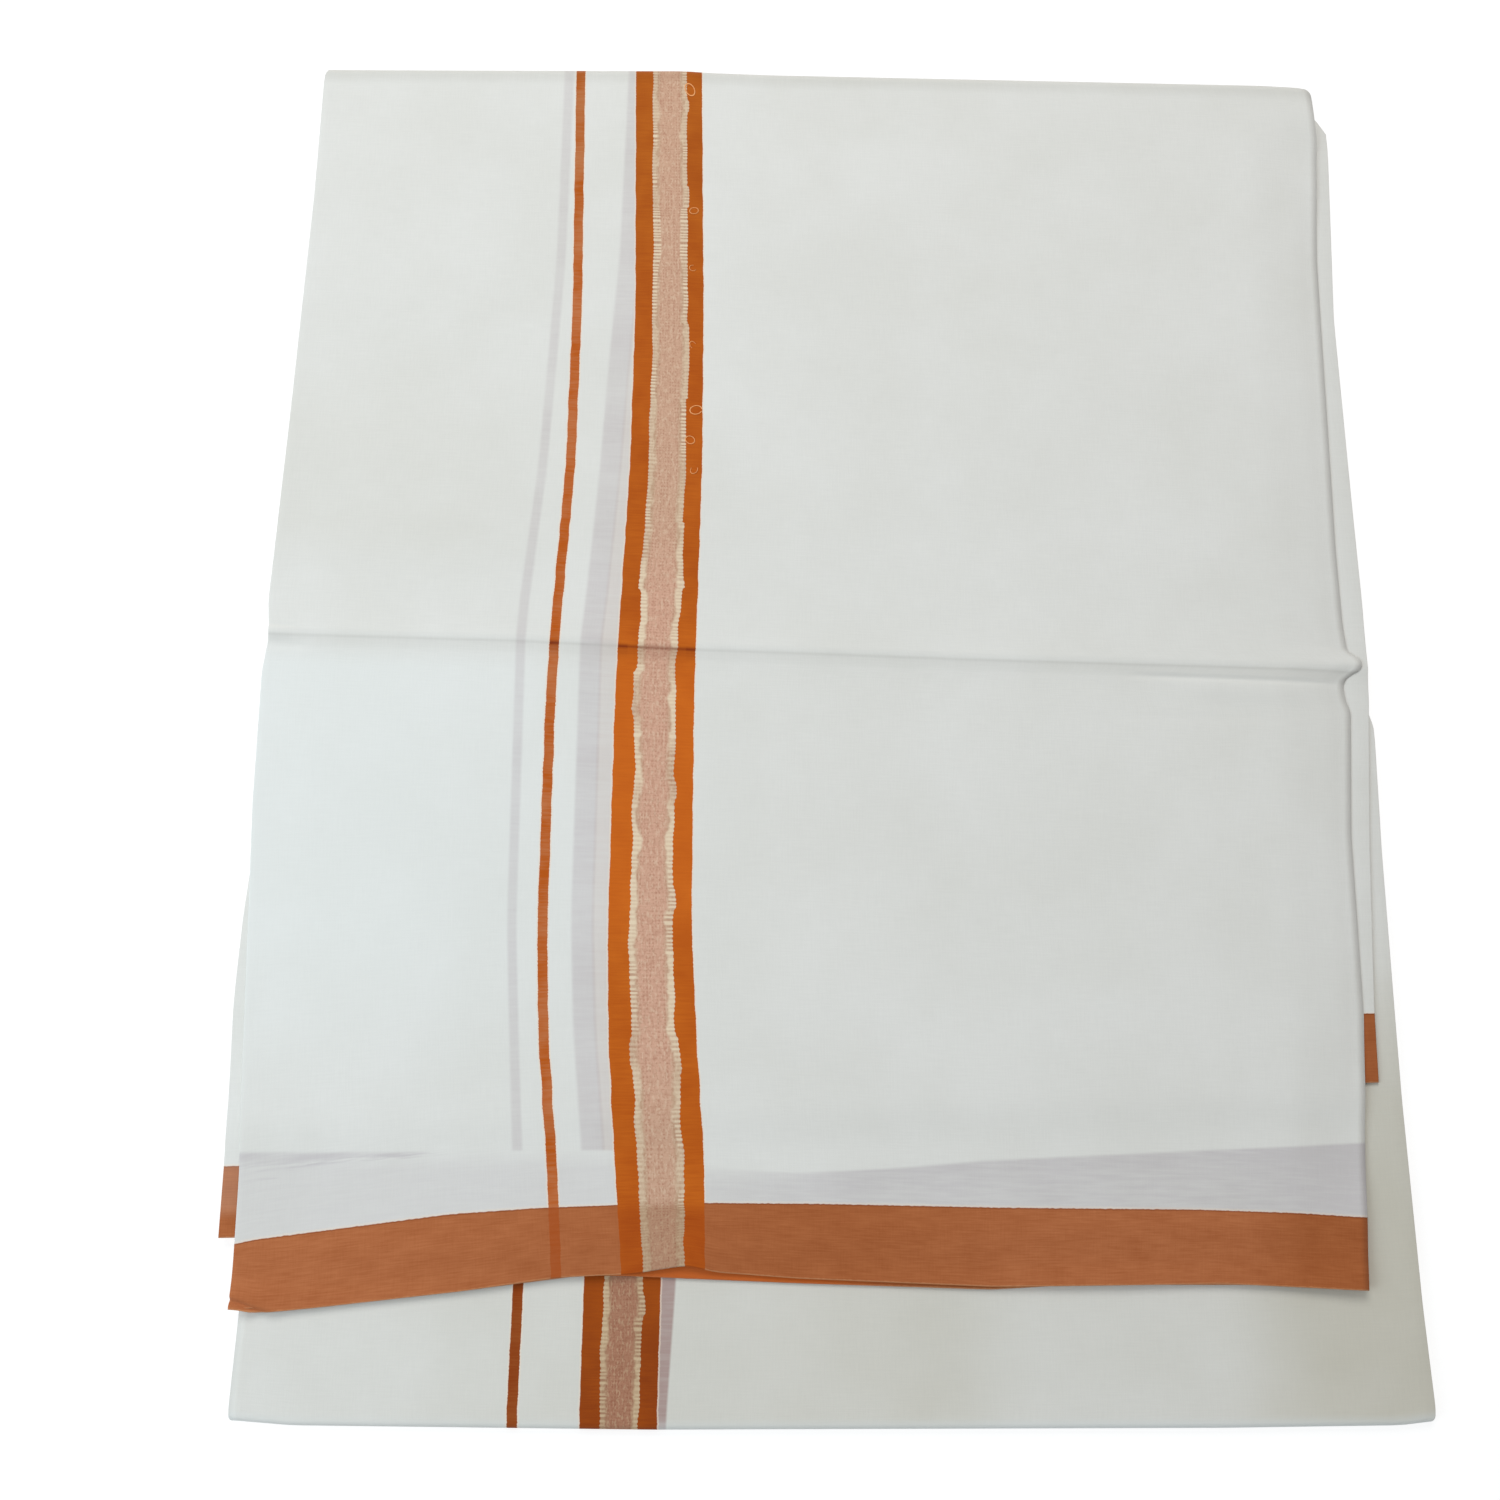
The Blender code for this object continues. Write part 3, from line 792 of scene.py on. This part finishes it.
def centre_edges(weave, upper):
    """The two edges of the peach centre, that sway and step as the picks are drawn in."""
    s = weave.socket
    v = weave.v
    left_steps = s.wander(v * 16.0 + 3.0).past(0.08, 0.03) * 0.0012
    right_steps = s.wander(v * 19.0 + 8.0).past(0.06, 0.03) * 0.0010
    sway = 0.0036 - upper * 0.0020
    left = METALLIC_BAND[0] + s.wander(v * 30.0 + 1.7, 2.0) * sway - left_steps * (1.0 - upper)
    right = METALLIC_BAND[1] + s.wander(v * 30.0 + 5.3, 2.0) * sway + right_steps
    return left, right


def knot_chains(weave, pick):
    """Chains of round knots, one knot to a pick, that break off here and there."""
    rank = weave.u / CHAIN
    chained = weave.socket.noise(rank.whole() * 7.3, weave.v * 42.0).past(0.48, 0.06)
    lean_x = rank.fraction() - 0.5
    lean_y = (pick.fraction() - 0.5) * 1.15
    return (1.0 - (lean_x * lean_x + lean_y * lean_y).past(0.03, 0.10)) * chained


def metallic_band(dyes):
    """A pattern for the peach centre of the wide band, with cream picks along its edges."""
    def pattern(weave, ground):
        s, u, v = weave.socket, weave.u, weave.v
        pick = v / PICK + s.wander(v * 120.0 + 11.0) * 1.6
        chance = s.dice(pick.whole())
        tooth = 1.0 - pick.fraction().past(0.34, 0.20) + pick.fraction().past(0.86, 0.14)
        upper = v.past(0.27, 0.05)
        faint = upper + (1.0 - v.past(0.05, 0.05))
        left, right = centre_edges(weave, upper)
        near = (u - left).smaller(right - u) + tooth * 0.00026
        body = near.past(-0.0001, 0.00025)
        side = u.past(0.0176, 0.0001)
        reach = 0.0027 + s.wander(v * 80.0 + side * 31.0, 2.0) * 0.0040 + (chance - 0.5) * 0.0008
        open_rim = (s.wander(v * 28.0 + side * 23.0 + 20.0) + 0.55).past(0.30, 0.30)
        # Painted shade below the crease's line dims the cream rims there
        rims_in_crease_shade = weave.from_crease().within(-0.0085, 0.0, 0.0012)
        open_rim = open_rim * (1.0 - rims_in_crease_shade * 0.85) * (1.0 - faint * 0.80)
        bold = v.within(0.446, 0.478, 0.014)
        toothed = s.wander(v * 24.0 + side * 11.0 + 70.0).past(-0.04, 0.16).larger(bold)
        short = 1.0 - (near - bold * 0.0016).past(0.0020, 0.0006)
        rim = (1.0 - (near - reach).past(-0.0007, 0.0014)) * (0.26 + 0.74 * open_rim)
        khaki = 1.0 - near.past(0.0016, 0.0030)
        knots = knot_chains(weave, pick)
        centre = band_centre(weave, dyes, khaki * 0.80 + faint * 0.40, knots)
        gaps = s.blend(rim * (0.68 - toothed * 0.42), centre, dyes["cream"])
        gaps = s.blend((1.0 - tooth) * khaki * toothed * chance * 0.35, gaps, dyes["rose"])
        picks = rim.larger(toothed * faint * short)
        centre = s.blend(picks * tooth * (0.62 + chance * 0.30), gaps, dyes["cream"])
        centre = s.tint(1.0 - v.past(HEM_BAND - 0.0034, 0.0060), centre, dyes["over_hem"])
        weave.relief = weave.relief + body * (0.7 * tooth * rim + 0.5 * knots)
        return s.blend(body, ground, centre)

    return pattern


def dress(cloth, plain, patterned=()):
    """Give the faces their materials. Columns: material, map axis (0 across, 1 down), from, to."""
    mesh = cloth.data
    corners = np.empty(len(mesh.loops) * 2)
    mesh.uv_layers["threads"].uv.foreach_get("vector", corners)
    corners = corners.reshape(-1, 4, 2)
    zone = np.zeros(len(corners), dtype=np.int32)
    mesh.materials.append(plain)
    for number, (material, axis, start, end) in enumerate(patterned, 1):
        mesh.materials.append(material)
        low = corners[:, :, axis].min(axis=1)
        high = corners[:, :, axis].max(axis=1)
        zone[(high > start) & (low < end)] = number
    mesh.polygons.foreach_set("material_index", zone)


def hem_zone(hemmed):
    """The row for `dress` of a selvedge."""
    return ((hemmed, 1, -1.0, HEM_BAND + 0.0012),)


def stripe_zones(dyed, metallic):
    """The rows for `dress` of a striped leaf."""
    margin = 0.0010
    return (
        (dyed, 0, THIN_LINE[0] - margin, THIN_LINE[1] + margin),
        (dyed, 0, WIDE_BAND[0] - margin, WIDE_BAND[1] + margin),
        (metallic, 0, METALLIC_BAND[0] - 0.0030, METALLIC_BAND[1] + 0.0030),
    )


# -------------------------------- the stretches of cloth


def stripe_stops(left, right, stripes):
    """Stops across a striped leaf: thread coordinates, and lines down the cloth."""
    half_line = (THIN_LINE[1] - THIN_LINE[0]) / 2
    return [
        (STRIPED_LEAF[0], left),
        (THIN_LINE[0], stripe_line(stripes, 1, -half_line)),
        (THIN_LINE[1], stripe_line(stripes, 1, half_line)),
        (WIDE_BAND[0], stripe_line(stripes, 2)),
        (WIDE_BAND[1], stripe_line(stripes, 3)),
        (STRIPED_LEAF[1], right),
    ]


def spots_of(cloth):
    """The x, y and z of a piece's points."""
    spots = np.empty(len(cloth.data.vertices) * 3)
    cloth.data.vertices.foreach_get("co", spots)
    return spots.reshape(-1, 3).T


def behind_map(cloth, thin_left, wide_left, hem_top):
    """A second map: threads across the leaf behind, and the way down past its selvedge's top."""
    mesh = cloth.data
    x, y, _ = spots_of(cloth)
    thin = thin_left(y)
    wide = wide_left(y)
    across = (x - wide) * -THIN_LINE[0] / (wide - thin)
    across = np.where(x > wide, x - wide, across)
    below = hem_top(x) - y
    corners = np.empty(len(mesh.loops), dtype=np.int32)
    mesh.loops.foreach_get("vertex_index", corners)
    layer = mesh.uv_layers.new(name="behind")
    layer.uv.foreach_set("vector", np.stack([across[corners], below[corners]], axis=-1).ravel())


def mark_crease(cloth):
    """An attribute with each point's distance above the crease's line."""
    x, y, _ = spots_of(cloth)
    away = cloth.data.attributes.new("pressed", "FLOAT", "POINT")
    away.data.foreach_set("value", y - curve(CREASE, x, 0.0005))


def below_fold(x, y, gap, fade):
    """1 on the cloth below the top fold, and 0 within a gap of it."""
    return ease((curve(TOP_FOLD, x) - gap - y) / fade)


def settle(x, y, z):
    """Near the right edge the upper stretches are pressed down towards the one that sticks out."""
    start = curve(FRONT_RIGHT, y) - SETTLE_REACH
    share = ease((x - start) / SETTLE_REACH)
    share = share * below_fold(x, y, 0.012, 0.03) * ease((y + 0.240) / 0.04)
    base = level_at(LEVELS["right_under"][0], (RIGHT_UNDER_HEM,), x, y)
    return np.where(z > base, base + (z - base) * (1.0 - SETTLE_SHARE * share), z)


def front_height(x, y):
    level, _ = LEVELS["front"]
    hems = (RIGHT_UNDER_HEM, LEFT_UNDER_HEM)
    raised = lifts(HEM_LIFTS, x, y) + lifts(CREASE_LIFTS, x, y)
    loose = slack(x, y, 0.4) + soft_folds(FRONT_FOLDS, x, y)
    return level_at(level, hems, x, y) + raised + loose * below_fold(x, y, level / 2, 0.02)


def settle_front(x, y, z):
    """The front is pressed down too, and comes down past the layers that end inside it."""
    edge = ease((x - curve(FRONT_RIGHT, y) + EDGE_REACH) / EDGE_REACH)
    edge = edge * below_fold(x, y, 0.046, 0.04) * ease((y + 0.190) / 0.04)
    return settle(x, y, z) - EDGE_DROP * edge


def front_rows(radius):
    """Rows from the hem up over the crease, and round the top fold."""
    rows = spaced(
        [
            (0.0, line(FRONT_HEM)),
            (0.009, line(FRONT_HEM, 0.009)),
            (HEM_BAND, line(FRONT_BAND_TOP)),
            (0.226, line(CREASE, CREASE_BELOW)),
            (0.244, line(CREASE, -0.008)),
            (0.258, line(CREASE, 0.006)),
            (0.282, line(CREASE, CREASE_ABOVE)),
            (FLAP_LENGTH, line(TOP_FOLD, -radius)),
        ],
        (14, 8, 58, 10, 26, 14, 72),
    )
    for step in range(1, 13):
        turn = TOP_TURN * step / 12
        rows.append((FLAP_LENGTH + radius * turn, line(TOP_FOLD), turn))
    return rows


def make_front():
    level, depth = LEVELS["front"]
    radius = level / 2
    left, right = line(FRONT_LEFT, depth / 2), line(FRONT_RIGHT, 0.0, 0.0015)
    stops = stripe_stops(left, right, FRONT_STRIPES)
    columns = pair_columns(stops, (60, 5, 10, 16, 84), depth, -1)
    rows = front_rows(radius)
    cloth = lay_cloth("front_cloth", columns, rows, front_height, (radius, 1), settle_front)
    thin_left, wide_left = stripe_line(SHADOW_STRIPES, 1), stripe_line(SHADOW_STRIPES, 2)
    behind_map(cloth, thin_left, wide_left, line(SHADOW_HEM))
    mark_crease(cloth)
    stripes = cross_stripes(FRONT_DYES)
    metallic = metallic_band(FRONT_DYES)
    behind = [stripes_behind, hem_behind]
    plain = cotton("white_front", [left_painted_light, *behind, pressed(0.0)])
    hemmed = cotton("selvedge_front", [*behind, selvedge])
    dyed = cotton("dyed_front", [left_painted_light, *behind, selvedge, stripes, pressed(0.85)])
    woven = cotton("metallic_front", [stripes, metallic, pressed(0.60)])
    dress(cloth, plain, hem_zone(hemmed) + stripe_zones(dyed, woven))
    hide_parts("front_flap")
    loops = make_loose_threads()


def add_thread_loop(bm, x, y, long, short, start, sweep):
    """One short end of thread on the cloth: a ring of points, swept round and stretched."""
    ring = bmesh.ops.create_circle(bm, segments=THREAD_SIDES, radius=THREAD_RADIUS)["verts"]
    bmesh.ops.rotate(bm, verts=ring, cent=(0, 0, 0), matrix=Matrix.Rotation(math.pi / 2, 3, "X"))
    bmesh.ops.translate(bm, verts=ring, vec=(LOOP_RADIUS, 0, 0))
    edges = [edge for edge in bm.edges if edge.verts[0] in ring]
    bmesh.ops.spin(
        bm, geom=ring + edges, cent=(0, 0, 0), axis=(0, 0, 1), dvec=(0, 0, 0),
        angle=math.radians(sweep), steps=18, use_merge=sweep >= 360,
    )
    loop = list({*ring, *(vert for face in bm.faces for vert in face.verts if not face.tag)})
    for face in bm.faces:
        face.tag = True
    bmesh.ops.scale(bm, verts=loop, vec=(short / LOOP_RADIUS, long / LOOP_RADIUS, 1.0))
    turn = Matrix.Rotation(math.radians(start), 3, "Z")
    bmesh.ops.rotate(bm, verts=loop, cent=(0, 0, 0), matrix=turn)
    height = float(front_height(np.array([x]), np.array([y]))[0])
    bmesh.ops.translate(bm, verts=loop, vec=(x, y, height + THREAD_RADIUS * 0.8))


def make_loose_threads():
    """Short ends of thread that have worked loose beside the wide band."""
    bm = bmesh.new()
    for row in LOOSE_THREADS:
        add_thread_loop(bm, *row)
    bmesh.ops.holes_fill(bm, edges=bm.edges, sides=THREAD_SIDES)
    bmesh.ops.recalc_face_normals(bm, faces=bm.faces)
    loops = object_from(bm, "loose_threads")
    cotton_thread = plain_material("loose_thread", {"Base Color": THREAD, "Roughness": 0.8})
    loops.data.materials.append(cotton_thread)
    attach(loops, "root")
    return loops


def inner_edge(inset):
    """The right edge of a layer under the front, that lies further in except near the top fold."""
    smooth = line(FRONT_RIGHT, 0.0, 0.02)
    return lambda y: smooth(y) - 0.0010 - inset * ease((0.286 - y) / 0.03)


def hem_rows(hem, top, length):
    """Rows of a layer that hangs inside the top fold."""
    return spaced(
        [
            (0.0, line(hem)),
            (0.004, line(hem, 0.004)),
            (HEM_BAND, line(hem, UNDER_BAND)),
            (length * 0.42, line(CREASE, CREASE_BELOW)),
            (length * 0.50, line(CREASE, CREASE_ABOVE)),
            (length, top),
        ],
        (4, 8, 22, 34, 40),
    )


def inside_roll(level, depth):
    """Where a layer ends, from the top fold's edge, to stay inside the front's roll."""
    room = LEVELS["front"][0] / 2
    half = room - ROLL_SPACE
    corner = max(abs(level - room), abs(level - depth - room))
    return math.sqrt(max(half * half - corner * corner, 0.0)) - room


def make_under_layer(name, node, key, hem, sides, lip, hidden_hems, length, squeeze=None):
    level, depth = LEVELS[key]
    left, right = sides
    if lip < 0:
        left = moved(left, depth / 2)
    else:
        right = moved(right, -depth / 2)
    upper = [(PLAIN_LEAF[0], left), (PLAIN_LEAF[1], right)]
    columns = pair_columns(upper, (64,), depth, lip, lower_counts=(20,))
    rows = hem_rows(hem, line(INNER_TOP_FOLD, inside_roll(level, depth)), length)

    def height(x, y):
        return level_at(level, hidden_hems, x, y)

    cloth = lay_cloth(name, columns, rows, height, None, squeeze)
    hemmed = cotton("selvedge_" + key, [selvedge] + HEM_LIGHT_AND_WEAR.get(key, []))
    dress(cloth, cotton("white_under", []), hem_zone(hemmed))
    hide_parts(node)
    return cloth


def back_rows(level, depth):
    """Rows of the turned-under part, round the bottom fold, and up inside the top fold."""
    radius = level / 2
    rows = []
    for step in range(31):
        inward = TURNED_UNDER * (1 - step / 30)
        rows.append((TURNED_UNDER - inward, line(BOTTOM_FOLD, radius + inward), math.pi))
    for step in range(1, 10):
        turn = math.pi * (1 - step / 10)
        rows.append((TURNED_UNDER + radius * (math.pi - turn), line(BOTTOM_FOLD), turn))
    start = TURNED_UNDER + radius * math.pi
    return rows + spaced(
        [
            (start, line(BOTTOM_FOLD, radius)),
            (start + 0.055, line(BOTTOM_FOLD, radius + 0.055)),
            (start + 0.305, line(CREASE, CREASE_BELOW)),
            (start + 0.361, line(CREASE, CREASE_ABOVE)),
            (start + 0.610, line(INNER_TOP_FOLD, inside_roll(level, depth))),
        ],
        (26, 40, 28, 24),
    )


def make_back():
    level, depth = LEVELS["back"]
    radius = level / 2
    stops = stripe_stops(line(BACK_LEFT), line(BACK_RIGHT, -depth / 2), BACK_STRIPES)
    columns = pair_columns(stops, (30, 4, 8, 14, 60), depth, 1, lower_counts=(12,))

    def height(x, y):
        fade = ease((y - curve(BOTTOM_FOLD, x) - radius) / 0.02)
        return level_at(level, (), x, y) + slack(x, y, 1.9) * fade * 0.8

    cloth = lay_cloth("back_cloth", columns, back_rows(level, depth), height, (radius, -1))
    behind_map(
        cloth,
        stripe_line(BACK_BEHIND, 1, -WIDE_BAND[1] + THIN_LINE[0]),
        stripe_line(BACK_BEHIND, 1, -WIDE_BAND[1]),
        lambda x: 0.0 * x,
    )
    stripes = cross_stripes(BACK_DYES_AND_SHADE)
    metallic = metallic_band(BACK_DYES_AND_SHADE)
    plain = cotton("white_back", [edge_shade, back_painted_shade])
    hemmed = cotton("selvedge_back", [selvedge])
    dyed = cotton("dyed_back", [edge_shade, back_painted_shade, selvedge, stripes])
    woven = cotton("metallic_back", [stripes, metallic])
    dress(cloth, plain, hem_zone(hemmed) + stripe_zones(dyed, woven))
    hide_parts("back_panel")


def make_fold(name, key, insets, lip, turn, striped=False):
    """One of the folds that don't show: two leaves and the lip between them."""
    level, depth = LEVELS[key]
    in_left, in_right, in_bottom, in_top = insets
    left = wavering(line(BACK_LEFT, in_left), turn)
    right = wavering(line(BACK_RIGHT, -in_right), turn + 2.0)
    if striped:
        lower = stripe_stops(left, right, FRONT_STRIPES)[::-1]
        lower_counts = (40, 14, 8, 4, 24)
        upper = [(STRIPED_LEAF[0], left), (2 * STRIPED_LEAF[0] - STRIPED_LEAF[1], right)]
    else:
        lower, lower_counts = None, (24,)
        upper = [(PLAIN_LEAF[0], left), (PLAIN_LEAF[1], right)]
    columns = pair_columns(upper, (24,), depth, lip, lower, lower_counts)
    rows = spaced(
        [
            (0.10, line(INNER_BOTTOM_FOLD, in_bottom)),
            (0.20, line(INNER_BOTTOM_FOLD, in_bottom + 0.10)),
            (0.70, line(INNER_TOP_FOLD, -in_top)),
        ],
        (24, 50),
    )

    def height(x, y):
        return level + 0.0 * x

    cloth = lay_cloth(name, columns, rows, height)
    zones = ()
    if striped:
        stripes = cross_stripes(FRONT_DYES)
        dyed = cotton("dyed_under", [stripes])
        woven = cotton("metallic_under", [stripes, metallic_band(FRONT_DYES)])
        zones = stripe_zones(dyed, woven)
    dress(cloth, cotton("white_under", []), zones)
    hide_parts("hidden_folds")


def make_cloth():
    make_front()
    second = make_under_layer(
        "second_cloth", "second_layer", "second", SECOND_HEM,
        (wavering(line(FRONT_LEFT, 0.0015), 0.7, 0.0003), wavering(inner_edge(0.0120), 1.1, 0.0003)),
        1, (RIGHT_UNDER_HEM, LEFT_UNDER_HEM), 0.55, settle,
    )
    left_under = make_under_layer(
        "left_under_cloth", "left_underlayer", "left_under", LEFT_UNDER_HEM,
        (line(LEFT_UNDER_LEFT), wavering(inner_edge(0.0130), 2.9, 0.0003)),
        -1, (RIGHT_UNDER_HEM,), 0.53, settle,
    )
    right_under = make_under_layer(
        "right_under_cloth", "right_underlayer", "right_under", RIGHT_UNDER_HEM,
        (line(FRONT_LEFT, 0.0030), line(RIGHT_UNDER_RIGHT, 0.0, 0.0015)), 1, (), 0.48,
    )
    make_back()
    make_fold("fold_high_cloth", "fold_high", (0.0040, 0.0020, 0.0015, 0.0032), -1, 0.9)
    make_fold("fold_low_cloth", "fold_low", (0.0022, 0.0050, 0.0019, 0.0046), 1, 2.6)
    make_fold("rear_cloth", "rear", (0.0050, 0.0045, 0.0045, 0.0062), -1, 4.1, striped=True)


# -------------------------------- camera, floor and light

CAMERA_TILT = math.radians(11.3)
CAMERA_AIM = (-0.0295, -0.0277, 0.0103)
CAMERA_AWAY = 0.683
LENS = 37.2
SENSOR = 36.0
FLOOR_SIZE = 12.0
FLOOR_GAP = 0.0003
FLOOR_TONE = (0.32, 0.32, 0.32, 1.0)
FLOOR_GLOW = 0.77
SKY_STRENGTH = 0.38


def make_camera():
    camera = bpy.data.objects.new("camera", bpy.data.cameras.new("camera"))
    camera.data.lens = LENS
    camera.data.sensor_width = SENSOR
    camera.data.clip_start = 0.01
    x, y, z = CAMERA_AIM
    back = CAMERA_AWAY * math.sin(CAMERA_TILT)
    up = CAMERA_AWAY * math.cos(CAMERA_TILT)
    camera.location = (x, y - back, z + up)
    camera.rotation_euler = (CAMERA_TILT, 0.0, 0.0)
    bpy.context.collection.objects.link(camera)
    bpy.context.scene.camera = camera


def make_floor():
    bm = bmesh.new()
    bmesh.ops.create_grid(bm, x_segments=1, y_segments=1, size=FLOOR_SIZE)
    bmesh.ops.translate(bm, verts=bm.verts, vec=(0.0, 0.0, -FLOOR_GAP))
    floor = object_from(bm, "floor")
    paper = plain_material("pale_floor", {
        "Base Color": FLOOR_TONE,
        "Roughness": 1.0,
        "Specular IOR Level": 0.0,
        "Emission Color": BARE,
        "Emission Strength": FLOOR_GLOW,
    })
    floor.data.materials.append(paper)


def add_light(name, place, size, watts, tone):
    lamp = bpy.data.lights.new(name, "AREA")
    lamp.shape = "SQUARE"
    lamp.size = size
    lamp.energy = watts
    lamp.color = tone
    light = bpy.data.objects.new(name, lamp)
    light.location = place
    x, y, z = place
    light.rotation_euler = (math.atan2(math.hypot(x, y), z), 0.0, math.atan2(y, x) + math.pi / 2)
    bpy.context.collection.objects.link(light)


def make_light():
    world = bpy.data.worlds.new("studio")
    world.use_nodes = True
    sky = world.node_tree.nodes["Background"]
    sky.inputs["Color"].default_value = BARE
    sky.inputs["Strength"].default_value = SKY_STRENGTH
    bpy.context.scene.world = world
    add_light("window", (-0.10, 1.20, 1.50), 1.0, 17.5, (1.0, 0.98, 0.95))
    add_light("room", (-0.95, -0.28, 0.85), 0.8, 6.7, (0.78, 0.91, 1.0))
    view = bpy.context.scene.view_settings
    view.view_transform = "Standard"
    view.look = "None"


make_camera()
make_floor()
make_light()
make_cloth()
